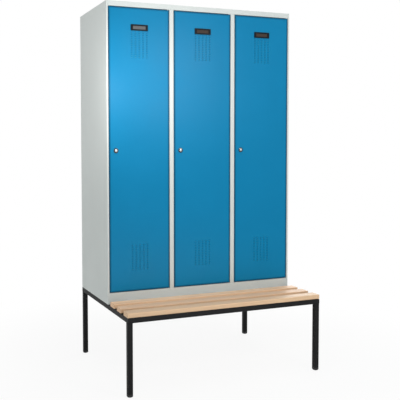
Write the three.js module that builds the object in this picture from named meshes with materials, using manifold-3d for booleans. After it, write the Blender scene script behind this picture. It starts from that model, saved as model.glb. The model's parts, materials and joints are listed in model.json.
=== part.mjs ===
// Three-door steel changing-room locker on a square-tube frame. The frame runs forward of the
// doors and carries three beech slats as a bench. Millimetres, +Z up. The origin lies on the
// floor under the middle of the footprint, the doors face -Y and the back panel faces +Y.

import * as THREE from 'three';
import { mergeVertices } from 'three/addons/utils/BufferGeometryUtils.js';
import Module from 'manifold-3d';

const wasm = await Module();
wasm.setup();

// Overall sizes
const unitWidth = 1190;
const bodyDepth = 500;
const bodyHeight = 1700;
const benchReach = 315;
const frameHeight = 420;
const compartmentCount = 3;

// Clearances: between fixed pieces, round a turning or sliding piece, round a door, and
// between a shut door and its stop. The overrun lets a cutting tool pass right through.
const contactGap = 0.3;
const runningGap = 0.4;
const doorGap = 3;
const stopGap = 0.5;
const cutOverrun = 5;

// Frame tube and feet
const tubeWidth = 28;
const tubeWall = 2;
const tubeCorner = 3;
const footHeight = 16;
const footFlatRadius = 9;
const footRounding = 13;
const footPlugHeight = 24;

// Bench slats
const slatCount = 3;
const slatWidth = 65;
const slatThickness = 25;
const slatRounding = 4;

// Body sheet metal
const sheet = 1;
const sideStrip = 10;
const middleStrip = 26;
const topFascia = 29;
const bottomFascia = 64;
const foldDepth = 22;
const rearFold = 15;
const trayFlange = 20;
const stopReach = 6;

// Doors
const doorDepth = 18;
const doorLip = 12;
const stiffenerCrown = 26;
const stiffenerFoot = 10;
const stiffenerDepth = 12;
const stiffenerSetback = 40;

// Vent slots of a door
const ventColumns = 5;
const ventRows = 15;
const ventPitchX = 23;
const ventPitchZ = 10;
const ventSlotWidth = 11;
const ventSlotHeight = 1.6;
const topVentDrop = 209;
const bottomVentRise = 195;

// Label holder and its card
const labelWidth = 104;
const labelHeight = 34;
const labelThickness = 3;
const labelDrop = 96;
const labelWindowWidth = 78;
const labelWindowHeight = 19;
const cardThickness = 0.8;
const cardOverlap = 4;

// Cam lock
const lockInset = 40;
const rosetteRadius = 14;
const rosetteThickness = 2.5;
const barrelRadius = 9.5;
const lockNutRadius = 13;
const lockNutThickness = 4;
const plugRadius = 7.5;
const plugStandout = 1;
const keySlotWidth = 1.6;
const keySlotHeight = 8;
const keySlotDepth = 6;
const camThickness = 2.5;
const camWidth = 13;
const camBite = 5;
const studWidth = 7;
const camNutRadius = 5.5;
const camNutThickness = 4;

// Hinge pins
const pinGrip = 8;
const pinReach = 10;
const pinCollarStep = 1.5;

// Hat shelves, coat rails and sliding coat hooks
const hatSpace = 300;
const shelfSetback = 30;
const shelfLip = 18;
const coatRailDrop = 50;
const coatRailHeight = 25;
const coatRailThickness = 12;
const coatRailRounding = 5;
const coatRailPlate = 2;
const coatRailPlateRim = 8;
const hookWidth = 12;
const hookWall = 4;
const hookNeck = 14;
const hookRadius = 24;
const hookRise = 10;

// Facets of round shapes
const cornerSegments = 3;
const roundSides = 16;
const lockSides = 20;
const domeSteps = 4;

// Places on the frame
const leftX = -unitWidth / 2;
const rightX = unitWidth / 2;
const frontY = -(bodyDepth + benchReach) / 2;
const backY = (bodyDepth + benchReach) / 2;
const topRailBottomZ = frameHeight - tubeWidth;

// Places on the body
const bodyFrontY = frontY + benchReach;
const bodyBottomZ = frameHeight + contactGap;
const bodyTopZ = frameHeight + bodyHeight;
const sillZ = frameHeight + bottomFascia;
const headZ = bodyTopZ - topFascia;
const stileDepth = doorDepth + stopGap + sheet;
const stileRearY = bodyFrontY + stileDepth;
const wallBoxRearY = stileRearY - sheet - contactGap;
const backPanelY = backY - sheet - contactGap - sheet;
const trayRearY = backPanelY - contactGap;
const webRearY = trayRearY - sheet - contactGap;
const innerHalfWidth = rightX - sheet - contactGap;
const fasciaHalfWidth = rightX - sideStrip - contactGap;

// Door openings, all of one width, with a strip between each two
const stripCount = compartmentCount - 1;
const openingWidth =
  (unitWidth - 2 * sideStrip - stripCount * middleStrip) / compartmentCount;
const openingHeight = headZ - sillZ;
const openingPitch = openingWidth + middleStrip;
const openingX = (index) => (index - stripCount / 2) * openingPitch;
const doorHalfWidth = openingWidth / 2 - doorGap;
const doorBottomZ = doorGap;
const doorTopZ = openingHeight - doorGap;

// The front corner of a door swings on a radius of 1.41 insets about its pins, so an inset of
// two gaps keeps it inside the opening. A pin is as thick as the folded corner has room for.
const hingeInset = 2 * doorGap;
const hingeX = doorHalfWidth - hingeInset;
const pinRadius = hingeInset - 2 * sheet;
const pinHoleRadius = pinRadius + runningGap;

// Places on a door, from the middle of its opening at the sill, with the door's face at zero
const lockX = lockInset - doorHalfWidth;
const lockZ = openingHeight / 2;
const labelZ = openingHeight - labelDrop - labelHeight / 2;
const topVentZ = openingHeight - topVentDrop;
const bottomVentZ = bottomVentRise;
const ventHalfWidth = ((ventColumns - 1) * ventPitchX + ventSlotWidth) / 2;
const stiffenerX = (ventHalfWidth + doorHalfWidth - doorLip) / 2;
const camReach = lockInset + doorGap - stopReach + camBite;
const camFront = stileDepth + contactGap;
const camRear = camFront + camThickness;

// Places inside the body
const shelfTopZ = headZ - hatSpace;
const shelfFrontY = stileRearY + shelfSetback;
const coatRailY = (stileRearY + webRearY) / 2;
const coatRailZ = shelfTopZ - coatRailDrop;

// Finishes
const finish = (color, roughness, metalness) =>
  new THREE.MeshStandardMaterial({ color, roughness, metalness });
const bodyGrey = finish(0xcdd2cf, 0.5, 0);
const doorBlue = finish(0x1d7fb4, 0.45, 0);
const frameBlack = finish(0x1e1e20, 0.55, 0);
const footBlack = finish(0x161617, 0.7, 0);
const beech = finish(0xd6bb9a, 0.6, 0);
const holderBlack = finish(0x17191b, 0.4, 0);
const cardGrey = finish(0x8f938f, 0.8, 0);
const lockDark = finish(0x2a2d30, 0.4, 0.3);
const chrome = finish(0xd0d4d6, 0.2, 1);
const steel = finish(0x9b9fa1, 0.4, 1);
const hookBlack = finish(0x202122, 0.6, 0);

// Solids
const range = (from, to) => [Math.min(from, to), Math.max(from, to)];

function block(x, y, z) {
  const geometry = new THREE.BoxGeometry(x[1] - x[0], y[1] - y[0], z[1] - z[0]);
  return geometry.translate((x[0] + x[1]) / 2, (y[0] + y[1]) / 2, (z[0] + z[1]) / 2);
}

function solidOf(geometry) {
  const bare = geometry.clone();
  bare.deleteAttribute('normal');
  bare.deleteAttribute('uv');
  const merged = mergeVertices(bare);
  return new wasm.Manifold(new wasm.Mesh({
    numProp: 3,
    vertProperties: new Float32Array(merged.attributes.position.array),
    triVerts: new Uint32Array(merged.index.array),
  }));
}

function geometryOf(solid) {
  const mesh = solid.getMesh();
  const geometry = new THREE.BufferGeometry();
  geometry.setAttribute('position', new THREE.BufferAttribute(mesh.vertProperties, 3));
  geometry.setIndex(new THREE.BufferAttribute(mesh.triVerts, 1));
  const faceted = geometry.toNonIndexed();
  faceted.computeVertexNormals();
  return faceted;
}

function join(geometries) {
  return geometryOf(geometries.map(solidOf).reduce((whole, next) => whole.add(next)));
}

function cut(geometry, tools) {
  const whole = solidOf(geometry);
  return geometryOf(tools.map(solidOf).reduce((left, tool) => left.subtract(tool), whole));
}

function common(geometry, other) {
  return geometryOf(solidOf(geometry).intersect(solidOf(other)));
}

function roundedRectangle(width, height, radius) {
  const arcX = width / 2 - radius;
  const arcY = height / 2 - radius;
  const quarter = Math.PI / 2;
  const shape = new THREE.Shape();
  shape.absarc(arcX, arcY, radius, 0, quarter);
  shape.absarc(-arcX, arcY, radius, quarter, 2 * quarter);
  shape.absarc(-arcX, -arcY, radius, 2 * quarter, 3 * quarter);
  shape.absarc(arcX, -arcY, radius, 3 * quarter, 4 * quarter);
  return shape;
}

function rectangle(width, height) {
  return [[1, 1], [-1, 1], [-1, -1], [1, -1]].map(
    ([right, up]) => new THREE.Vector2(right * width / 2, up * height / 2));
}

function outline(points) {
  return new THREE.Shape(points.map(([x, y]) => new THREE.Vector2(x, y)));
}

// The outline of a sheet folded square, from the line of one face. The metal lies to the right
// of that line as it is followed.
function foldedSheet(line) {
  const normals = line.slice(1).map(([x, y], index) =>
    [Math.sign(y - line[index][1]), Math.sign(line[index][0] - x)]);
  const otherFace = line.map(([x, y], index) => {
    const beside = normals.slice(Math.max(index - 1, 0), index + 1);
    return beside.reduce(([atX, atY], [nx, ny]) => [atX + nx * sheet, atY + ny * sheet], [x, y]);
  });
  return outline([...line, ...otherFace.reverse()]);
}

// A shape drawn in XY and run up along Z from zero
function run(shape, length) {
  return new THREE.ExtrudeGeometry(shape, {
    depth: length,
    steps: 1,
    bevelEnabled: false,
    curveSegments: cornerSegments,
  });
}

// A shape drawn in YZ and run along X between two places
function runAcross(shape, x) {
  const turned = new THREE.Matrix4().makeBasis(
    new THREE.Vector3(0, 1, 0), new THREE.Vector3(0, 0, 1), new THREE.Vector3(1, 0, 0));
  return run(shape, x[1] - x[0]).applyMatrix4(turned).translate(x[0], 0, 0);
}

// An upright round bar between two heights
function bar(radius, z, sides = roundSides) {
  const geometry = new THREE.CylinderGeometry(radius, radius, z[1] - z[0], sides);
  return geometry.rotateX(Math.PI / 2).translate(0, 0, (z[0] + z[1]) / 2);
}

// A profile of radius and height pairs turned about the Y axis
function lathe(points) {
  return new THREE.LatheGeometry(
    points.map(([radius, y]) => new THREE.Vector2(radius, y)), lockSides);
}

const model = new THREE.Group();

function place(name, geometry, material, parent = model) {
  const piece = new THREE.Mesh(geometry, material);
  piece.name = name;
  parent.add(piece);
  return piece;
}

// Frame: a mitred rectangle of tube with a cross rail under the body's front edge
function squareTube(length) {
  const section = roundedRectangle(tubeWidth, tubeWidth, tubeCorner);
  const boreWidth = tubeWidth - 2 * tubeWall;
  section.holes.push(new THREE.Path(rectangle(boreWidth, boreWidth)));
  return run(section, length);
}

function crosswise(tube, length) {
  return tube.rotateY(Math.PI / 2).translate(-length / 2, tubeWidth / 2, -tubeWidth / 2);
}

function mitredRail(length) {
  const reach = tubeWidth + cutOverrun;
  const wedges = [-1, 1].map((side) => {
    const end = length / 2 - contactGap;
    const corners = [
      [end + cutOverrun, -cutOverrun],
      [end + cutOverrun, reach],
      [end - reach, reach],
    ];
    const outline = new THREE.Shape(corners.map(([x, y]) => new THREE.Vector2(side * x, y)));
    return run(outline, reach + cutOverrun).translate(0, 0, -reach);
  });
  return cut(crosswise(squareTube(length), length), wedges);
}

function makeFrame() {
  const depth = backY - frontY;
  const acrossRail = mitredRail(unitWidth);
  const alongRail = mitredRail(depth);
  const middleY = (frontY + backY) / 2;
  const rails = [
    ['front_rail', acrossRail, 0, frontY, 0],
    ['right_rail', alongRail, rightX, middleY, Math.PI / 2],
    ['rear_rail', acrossRail, 0, backY, Math.PI],
    ['left_rail', alongRail, leftX, middleY, -Math.PI / 2],
  ];
  rails.forEach(([name, geometry, x, y, turn]) => {
    const rail = place(name, geometry, frameBlack);
    rail.position.set(x, y, frameHeight);
    rail.rotation.z = turn;
  });

  const crossLength = unitWidth - 2 * (tubeWidth + contactGap);
  const crossRail = place('cross_rail', crosswise(squareTube(crossLength), crossLength), frameBlack);
  crossRail.position.set(0, bodyFrontY, frameHeight);
}

// Legs and feet: a foot is a square cap with a domed sole, and its plug fills the leg's end
function footGeometry() {
  const cap = run(roundedRectangle(tubeWidth, tubeWidth, tubeCorner), footHeight);
  const domeReach = tubeWidth / Math.SQRT2 - footFlatRadius;
  const profile = [[0, 0]];
  for (let step = 0; step <= domeSteps; step += 1) {
    const angle = step / domeSteps * Math.PI / 2;
    const radius = footFlatRadius + domeReach * Math.sin(angle);
    profile.push([radius, footRounding * (1 - Math.cos(angle))]);
  }
  profile.push([footFlatRadius + domeReach, footHeight + cutOverrun], [0, footHeight + cutOverrun]);
  const dome = lathe(profile).rotateX(Math.PI / 2);
  const plugWidth = tubeWidth - 2 * (tubeWall + contactGap);
  const plug = run(new THREE.Shape(rectangle(plugWidth, plugWidth)), footPlugHeight + footHeight / 2);
  return join([common(cap, dome), plug.translate(0, 0, footHeight / 2)]);
}

function makeLegs() {
  const legBottom = footHeight + contactGap;
  const leg = squareTube(topRailBottomZ - contactGap - legBottom);
  const foot = footGeometry();
  const corners = [
    ['front_left', leftX + tubeWidth / 2, frontY + tubeWidth / 2],
    ['front_right', rightX - tubeWidth / 2, frontY + tubeWidth / 2],
    ['rear_left', leftX + tubeWidth / 2, backY - tubeWidth / 2],
    ['rear_right', rightX - tubeWidth / 2, backY - tubeWidth / 2],
  ];
  corners.forEach(([corner, x, y]) => {
    place(corner + '_leg', leg, frameBlack).position.set(x, y, legBottom);
    place(corner + '_foot', foot, footBlack).position.set(x, y, 0);
  });
}

// Bench: slats laid across the side rails, the first flush with the frame's front
function makeBench() {
  const section = roundedRectangle(slatThickness, slatWidth, slatRounding);
  const slat = run(section, unitWidth).rotateY(Math.PI / 2);
  slat.translate(-unitWidth / 2, slatWidth / 2, slatThickness / 2);
  for (let index = 0; index < slatCount; index += 1) {
    const slatY = frontY + index * benchReach / slatCount;
    place('seat_slat_' + (index + 1), slat, beech).position.set(0, slatY, bodyBottomZ);
  }
}

// Body: each side wall is one sheet, folded round the back and, at the front, into a closed box
// beside the door opening
function makeSidePanel(name, side) {
  const stileX = rightX - sideStrip;
  const section = [
    [stileX, bodyFrontY],
    [rightX, bodyFrontY],
    [rightX, backY],
    [rightX - rearFold, backY],
    [rightX - rearFold, backY - sheet],
    [rightX - sheet, backY - sheet],
    [rightX - sheet, wallBoxRearY],
    [stileX, wallBoxRearY],
  ];
  const hollow = [
    [stileX + sheet, bodyFrontY + sheet],
    [rightX - sheet, bodyFrontY + sheet],
    [rightX - sheet, wallBoxRearY - sheet],
    [stileX + sheet, wallBoxRearY - sheet],
  ];
  const mirrored = (points) => points.map(([x, y]) => [-x, y]).reverse();
  const onSide = (points) => outline(side > 0 ? points : mirrored(points));
  const shape = onSide(section);
  shape.holes.push(onSide(hollow));
  const panel = run(shape, bodyTopZ - bodyBottomZ).translate(0, 0, bodyBottomZ);
  place(name, panel, bodyGrey);
}

// The first door shuts against a strip on the back of the left wall's box, and its cam locks
// behind that strip
function makeStopStrip() {
  const strip = block(
    [-innerHalfWidth, leftX + sideStrip + stopReach],
    [stileRearY - sheet, stileRearY],
    [sillZ + contactGap, headZ - contactGap],
  );
  place('stop_strip', strip, bodyGrey);
}

// A partition is a flat web behind a closed box that faces the strip between two doors. The box
// ends under the head, and carries the stop of the door on its right.
function makePartition(name, centreX) {
  const box = [centreX - middleStrip / 2, centreX + middleStrip / 2];
  const web = [centreX - sheet / 2, centreX + sheet / 2];
  const section = outline([
    [box[0], bodyFrontY],
    [box[1], bodyFrontY],
    [box[1], stileRearY - sheet],
    [box[1] + stopReach, stileRearY - sheet],
    [box[1] + stopReach, stileRearY],
    [web[1], stileRearY],
    [web[1], webRearY],
    [web[0], webRearY],
    [web[0], stileRearY],
    [box[0], stileRearY],
  ]);
  const hollow = outline([
    [box[0] + sheet, bodyFrontY + sheet],
    [box[1] - sheet, bodyFrontY + sheet],
    [box[1] - sheet, stileRearY - sheet],
    [box[0] + sheet, stileRearY - sheet],
  ]);
  section.holes.push(hollow);
  const bottomZ = sillZ + contactGap;
  const whole = run(section, bodyTopZ - sheet - contactGap - bottomZ).translate(0, 0, bottomZ);
  const underHead = block(
    [box[0] - cutOverrun, box[1] + stopReach + cutOverrun],
    [bodyFrontY - cutOverrun, Math.max(bodyFrontY + foldDepth, stileRearY) + contactGap],
    [headZ - contactGap, bodyTopZ + cutOverrun],
  );
  place(name, cut(whole, [underHead]), bodyGrey);
}

// The top panel and the base are trays with a fascia and its fold at the front. A tray is open
// from its fold's side, and its front corners are cut back to fit between the stiles.
function trayGeometry(faceZ, foldZ) {
  const inward = Math.sign(foldZ - faceZ);
  const pastFold = foldZ + inward * cutOverrun;
  const foldRearY = bodyFrontY + foldDepth;
  const hollow = outline([
    [bodyFrontY + sheet, faceZ + inward * sheet],
    [trayRearY - sheet, faceZ + inward * sheet],
    [trayRearY - sheet, pastFold],
    [foldRearY, pastFold],
    [foldRearY, foldZ - inward * sheet],
    [bodyFrontY + sheet, foldZ - inward * sheet],
  ]);
  const corners = [-1, 1].map((side) => block(
    range(side * fasciaHalfWidth, side * (innerHalfWidth + cutOverrun)),
    [bodyFrontY - cutOverrun, stileRearY + contactGap],
    range(faceZ - inward * cutOverrun, pastFold),
  ));
  const whole = block(
    [-innerHalfWidth, innerHalfWidth], [bodyFrontY, trayRearY], range(faceZ, foldZ));
  const inside = runAcross(hollow, [sheet - innerHalfWidth, innerHalfWidth - sheet]);
  return cut(whole, [inside, ...corners]);
}

function pinHoles(z) {
  return Array.from({ length: compartmentCount }, (_, index) =>
    bar(pinHoleRadius, [z - cutOverrun, z + cutOverrun])
      .translate(openingX(index) + hingeX, bodyFrontY + hingeInset, 0));
}

function makeTrays() {
  const belowFlange = block(
    [-innerHalfWidth - cutOverrun, innerHalfWidth + cutOverrun],
    [bodyFrontY + foldDepth + sheet, trayRearY + cutOverrun],
    [headZ - cutOverrun, bodyTopZ - trayFlange],
  );
  const top = cut(trayGeometry(bodyTopZ, headZ), [belowFlange, ...pinHoles(headZ)]);
  place('top_panel', top, bodyGrey);
  const base = cut(trayGeometry(sillZ, bodyBottomZ), pinHoles(sillZ));
  place('base_panel', base, bodyGrey);
}

function makeBody() {
  makeSidePanel('left_side_panel', -1);
  makeSidePanel('right_side_panel', 1);
  makeStopStrip();
  for (let index = 0; index < stripCount; index += 1) {
    makePartition('partition_' + (index + 1), openingX(index) + openingPitch / 2);
  }
  makeTrays();
  const inner = [-innerHalfWidth, innerHalfWidth];
  const height = [bodyBottomZ, bodyTopZ - contactGap];
  place('back_panel', block(inner, [backPanelY, backPanelY + sheet], height), bodyGrey);
}

// Fittings: each compartment has a hat shelf and, below it, a coat rail with a sliding hook
function compartmentSpan(index) {
  const half = openingPitch / 2 - sheet / 2 - contactGap;
  const left = index === 0 ? -innerHalfWidth : openingX(index) - half;
  const right = index === stripCount ? innerHalfWidth : openingX(index) + half;
  return [left, right];
}

function makeShelf(number, x) {
  const lipZ = shelfTopZ - shelfLip;
  const whole = block(x, [shelfFrontY, webRearY], [lipZ, shelfTopZ]);
  const hollow = block(
    [x[0] + sheet, x[1] - sheet],
    [shelfFrontY + sheet, webRearY - sheet],
    [lipZ - cutOverrun, shelfTopZ - sheet],
  );
  place('hat_shelf_' + number, cut(whole, [hollow]), bodyGrey);
}

function makeCoatRail(number, x) {
  const section = roundedRectangle(coatRailHeight, coatRailThickness, coatRailRounding);
  const oval = run(section, x[1] - x[0] - coatRailPlate).rotateY(Math.PI / 2);
  oval.translate(x[0] + coatRailPlate / 2, 0, 0);
  const plateY = [-1, 1].map((end) => end * (coatRailThickness / 2 + coatRailPlateRim));
  const plateZ = [-1, 1].map((end) => end * (coatRailHeight / 2 + coatRailPlateRim));
  const rail = join([
    oval,
    block([x[0], x[0] + coatRailPlate], plateY, plateZ),
    block([x[1] - coatRailPlate, x[1]], plateY, plateZ),
  ]);
  place('coat_rail_' + number, rail, chrome).position.set(0, coatRailY, coatRailZ);
}

function hookGeometry() {
  const holeHeight = coatRailHeight + 2 * runningGap;
  const holeWidth = coatRailThickness + 2 * runningGap;
  const ringHeight = holeHeight + 2 * hookWall;
  const ring = roundedRectangle(ringHeight, holeWidth + 2 * hookWall, coatRailRounding + hookWall);
  ring.holes.push(roundedRectangle(holeHeight, holeWidth, coatRailRounding));

  const armCentreZ = -ringHeight / 2 - hookNeck;
  const arm = new THREE.Shape();
  arm.absarc(-armCentreZ, 0, hookRadius, Math.PI / 2, -Math.PI / 2, true);
  arm.lineTo(-armCentreZ - hookRise, -hookRadius);
  arm.lineTo(-armCentreZ - hookRise, hookWall - hookRadius);
  arm.absarc(-armCentreZ, 0, hookRadius - hookWall, -Math.PI / 2, Math.PI / 2, false);
  arm.lineTo(-armCentreZ - hookRise, hookRadius - hookWall);
  arm.lineTo(-armCentreZ - hookRise, hookRadius);
  const arms = new THREE.ExtrudeGeometry(arm, {
    depth: hookWidth,
    steps: 1,
    bevelEnabled: false,
    curveSegments: roundSides / 2,
  });

  const flat = [run(ring, hookWidth), arms].map((geometry) =>
    geometry.translate(0, 0, -hookWidth / 2).rotateY(Math.PI / 2));
  const neckZ = [armCentreZ - hookRadius + hookWall / 2, (hookWall - ringHeight) / 2];
  const neck = block([-hookWidth / 2, hookWidth / 2], [-hookWall / 2, hookWall / 2], neckZ);
  return join([...flat, neck]);
}

function makeFittings() {
  const hook = hookGeometry();
  for (let index = 0; index < compartmentCount; index += 1) {
    const number = index + 1;
    const span = compartmentSpan(index);
    makeShelf(number, span);
    makeCoatRail(number, span);
    place('coat_hook_' + number, hook, hookBlack)
      .position.set((span[0] + span[1]) / 2, coatRailY, coatRailZ);
  }
}

// Doors: a door is a folded pan with vent slots and a hat-shaped stiffener behind its face
function ventSlots(centreZ) {
  const slots = [];
  for (let row = 0; row < ventRows; row += 1) {
    for (let column = 0; column < ventColumns; column += 1) {
      const x = (column - (ventColumns - 1) / 2) * ventPitchX;
      const z = centreZ + (row - (ventRows - 1) / 2) * ventPitchZ;
      slots.push(block(
        [x - ventSlotWidth / 2, x + ventSlotWidth / 2],
        [-cutOverrun, cutOverrun],
        [z - ventSlotHeight / 2, z + ventSlotHeight / 2],
      ));
    }
  }
  return slots;
}

function doorGeometry() {
  const [left, right] = [-doorHalfWidth, doorHalfWidth];
  const whole = block([left, right], [0, doorDepth], [doorBottomZ, doorTopZ]);
  const hollow = outline([
    [left + sheet, sheet],
    [right - sheet, sheet],
    [right - sheet, doorDepth - sheet],
    [right - doorLip, doorDepth - sheet],
    [right - doorLip, doorDepth + cutOverrun],
    [left + doorLip, doorDepth + cutOverrun],
    [left + doorLip, doorDepth - sheet],
    [left + sheet, doorDepth - sheet],
  ]);
  const hollowHeight = doorTopZ - doorBottomZ - 2 * sheet;
  const barrelHole = bar(barrelRadius + contactGap, [-cutOverrun, cutOverrun], lockSides);
  return cut(whole, [
    run(hollow, hollowHeight).translate(0, 0, doorBottomZ + sheet),
    barrelHole.rotateX(Math.PI / 2).translate(lockX, 0, lockZ),
    ...[doorBottomZ, doorTopZ].map((z) =>
      bar(pinHoleRadius, [z - cutOverrun, z + cutOverrun]).translate(hingeX, hingeInset, 0)),
    ...ventSlots(topVentZ),
    ...ventSlots(bottomVentZ),
  ]);
}

function stiffenerGeometry() {
  const footY = sheet + contactGap + sheet;
  const crownY = sheet + contactGap + stiffenerDepth;
  const crown = [stiffenerX - stiffenerCrown / 2, stiffenerX + stiffenerCrown / 2];
  const hat = foldedSheet([
    [crown[0] - stiffenerFoot, footY],
    [crown[0], footY],
    [crown[0], crownY],
    [crown[1], crownY],
    [crown[1], footY],
    [crown[1] + stiffenerFoot, footY],
  ]);
  const height = doorTopZ - doorBottomZ - 2 * stiffenerSetback;
  return run(hat, height).translate(0, 0, doorBottomZ + stiffenerSetback);
}

// Label: a frame with a window, and a card in the recess at its back
function labelGeometries() {
  const pocketWidth = labelWindowWidth + 2 * cardOverlap;
  const pocketHeight = labelWindowHeight + 2 * cardOverlap;
  const pocketDepth = cardThickness + contactGap;
  const centred = (width, height, y) =>
    block([-width / 2, width / 2], y, [-height / 2, height / 2]);
  const behind = [-pocketDepth, cutOverrun];
  const holder = cut(centred(labelWidth, labelHeight, [-labelThickness, 0]), [
    centred(labelWindowWidth, labelWindowHeight, [-labelThickness - cutOverrun, cutOverrun]),
    centred(pocketWidth, pocketHeight, behind),
  ]);
  const card = centred(
    pocketWidth - 2 * contactGap, pocketHeight - 2 * contactGap, [-cardThickness, 0]);
  return { holder, card };
}

// Lock: a barrel nutted into the door, a plug that turns in it, and a cam on the plug's stud
function barrelGeometry() {
  const bore = plugRadius + runningGap;
  const front = -contactGap - rosetteThickness;
  const nutFront = sheet + contactGap;
  const rear = stileDepth - contactGap;
  return lathe([
    [bore, front],
    [rosetteRadius, front],
    [rosetteRadius, -contactGap],
    [barrelRadius, -contactGap],
    [barrelRadius, nutFront],
    [lockNutRadius, nutFront],
    [lockNutRadius, nutFront + lockNutThickness],
    [barrelRadius, nutFront + lockNutThickness],
    [barrelRadius, rear],
    [bore, rear],
    [bore, front],
  ]);
}

function plugGeometry() {
  const front = -contactGap - rosetteThickness - plugStandout;
  const plug = lathe([[0, front], [plugRadius, front], [plugRadius, stileDepth], [0, stileDepth]]);
  const nutFront = camRear + contactGap;
  const nutRear = nutFront + camNutThickness;
  const nut = lathe([[0, nutFront], [camNutRadius, nutFront], [camNutRadius, nutRear], [0, nutRear]]);
  const studSpan = [-studWidth / 2, studWidth / 2];
  const stud = block(studSpan, [stileDepth - sheet, nutRear - sheet], studSpan);
  const keySlot = block(
    [-keySlotWidth / 2, keySlotWidth / 2],
    [front - cutOverrun, front + keySlotDepth],
    [-keySlotHeight / 2, keySlotHeight / 2],
  );
  return cut(join([plug, stud, nut]), [keySlot]);
}

function camGeometry() {
  const cam = new THREE.Shape();
  cam.absarc(0, 0, camWidth / 2, Math.PI, 2 * Math.PI);
  cam.lineTo(camWidth / 2, camReach);
  cam.lineTo(-camWidth / 2, camReach);
  const holeWidth = studWidth + 2 * contactGap;
  cam.holes.push(new THREE.Path(rectangle(holeWidth, holeWidth)));
  return run(cam, camThickness).rotateX(Math.PI / 2).translate(0, camRear, 0);
}

// Hinge pins: the upper pin hangs through the head fold, the lower one stands in the sill, and
// each has a collar in the gap that the door turns on
function pinGeometry() {
  const collar = [contactGap, doorGap - contactGap];
  return join([
    bar(pinRadius, [-sheet - pinGrip, doorGap + pinReach]),
    bar(pinRadius + pinCollarStep, collar),
  ]);
}

function makeDoors() {
  const door = doorGeometry();
  const stiffener = stiffenerGeometry();
  const label = labelGeometries();
  const barrel = barrelGeometry();
  const plug = plugGeometry();
  const cam = camGeometry();
  const pin = pinGeometry();
  for (let index = 0; index < compartmentCount; index += 1) {
    const number = index + 1;
    const bay = new THREE.Group();
    bay.position.set(openingX(index), bodyFrontY, sillZ);
    model.add(bay);
    place('door_' + number, door, doorBlue, bay);
    place('door_stiffener_' + number, stiffener, doorBlue, bay);
    place('label_holder_' + number, label.holder, holderBlack, bay)
      .position.set(0, -contactGap, labelZ);
    place('label_card_' + number, label.card, cardGrey, bay)
      .position.set(0, -contactGap, labelZ);
    place('lock_barrel_' + number, barrel, lockDark, bay).position.set(lockX, 0, lockZ);
    place('lock_plug_' + number, plug, chrome, bay).position.set(lockX, 0, lockZ);
    place('lock_cam_' + number, cam, steel, bay).position.set(lockX, 0, lockZ);
    place('lower_hinge_pin_' + number, pin, steel, bay).position.set(hingeX, hingeInset, 0);
    const upperPin = place('upper_hinge_pin_' + number, pin, steel, bay);
    upperPin.position.set(hingeX, hingeInset, openingHeight);
    upperPin.rotation.x = Math.PI;
  }
}

makeFrame();
makeLegs();
makeBench();
makeBody();
makeFittings();
makeDoors();

export default model;
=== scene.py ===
import json
from math import cos, pi, radians, sin

import bmesh
import bpy
from mathutils import Euler, Matrix, Quaternion, Vector


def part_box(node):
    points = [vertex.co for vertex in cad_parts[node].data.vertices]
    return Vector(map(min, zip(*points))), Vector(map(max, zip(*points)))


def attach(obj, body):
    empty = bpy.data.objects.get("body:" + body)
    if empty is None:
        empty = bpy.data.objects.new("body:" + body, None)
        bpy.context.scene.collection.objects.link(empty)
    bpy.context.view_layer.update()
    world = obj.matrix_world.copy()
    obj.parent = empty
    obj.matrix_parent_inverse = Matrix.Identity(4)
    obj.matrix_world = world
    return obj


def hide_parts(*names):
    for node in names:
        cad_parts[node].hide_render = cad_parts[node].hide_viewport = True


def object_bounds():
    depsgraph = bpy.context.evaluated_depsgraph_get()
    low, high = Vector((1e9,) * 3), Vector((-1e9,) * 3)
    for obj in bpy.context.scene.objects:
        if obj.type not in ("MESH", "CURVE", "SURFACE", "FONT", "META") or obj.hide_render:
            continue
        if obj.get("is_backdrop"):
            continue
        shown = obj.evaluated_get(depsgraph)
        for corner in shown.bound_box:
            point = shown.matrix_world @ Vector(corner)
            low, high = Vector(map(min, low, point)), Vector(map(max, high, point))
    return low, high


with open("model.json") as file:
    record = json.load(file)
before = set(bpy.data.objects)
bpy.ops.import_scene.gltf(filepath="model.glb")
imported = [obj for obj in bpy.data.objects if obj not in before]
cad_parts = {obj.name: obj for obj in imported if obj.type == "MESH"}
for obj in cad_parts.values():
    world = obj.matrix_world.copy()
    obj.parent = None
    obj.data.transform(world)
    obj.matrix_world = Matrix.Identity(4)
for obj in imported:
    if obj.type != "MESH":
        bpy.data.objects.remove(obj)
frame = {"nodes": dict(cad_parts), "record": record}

cad_low, cad_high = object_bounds()

# Camera
# The unit is seen from its left, from chest height, through a short telephoto lens whose centre
# lies left of and above the middle of the picture.
camera = bpy.data.objects.new("camera", bpy.data.cameras.new("camera"))
camera.data.lens = 58.171
camera.data.shift_x = 0.2043
camera.data.shift_y = -0.058
camera.location = (-1.7688, -3.5035, 1.3105)
camera_turn, camera_tilt, camera_roll = radians(19.973), radians(2.676), radians(0.323)
camera.rotation_mode = "QUATERNION"
camera.rotation_quaternion = (
    Euler((pi / 2 - camera_tilt, 0, -camera_turn)).to_quaternion()
    @ Quaternion((0, 0, 1), -camera_roll)
)
bpy.context.collection.objects.link(camera)
bpy.context.scene.camera = camera
bpy.context.scene.view_settings.view_transform = "Standard"

# Floor, backdrop and lights
# A white studio: a pale floor that runs into a white surround, a long key lamp close to the top
# of the first door, large soft ones low in front, at the left side and behind, a broad one
# overhead, and a small one that the doors reflect.
WHITE = (1.0, 1.0, 1.0, 1)


def new_node(tree, kind, inputs=(), **settings):
    """A shader node with its settings, and a value or a link for each input that is named."""
    node = tree.nodes.new(kind)
    for name, value in settings.items():
        setattr(node, name, value)
    for name, value in dict(inputs).items():
        if isinstance(value, bpy.types.NodeSocket):
            tree.links.new(value, node.inputs[name])
        else:
            node.inputs[name].default_value = value
    return node


def blank_material(name):
    material = bpy.data.materials.new(name)
    material.use_nodes = True
    material.node_tree.nodes.clear()
    return material


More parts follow.
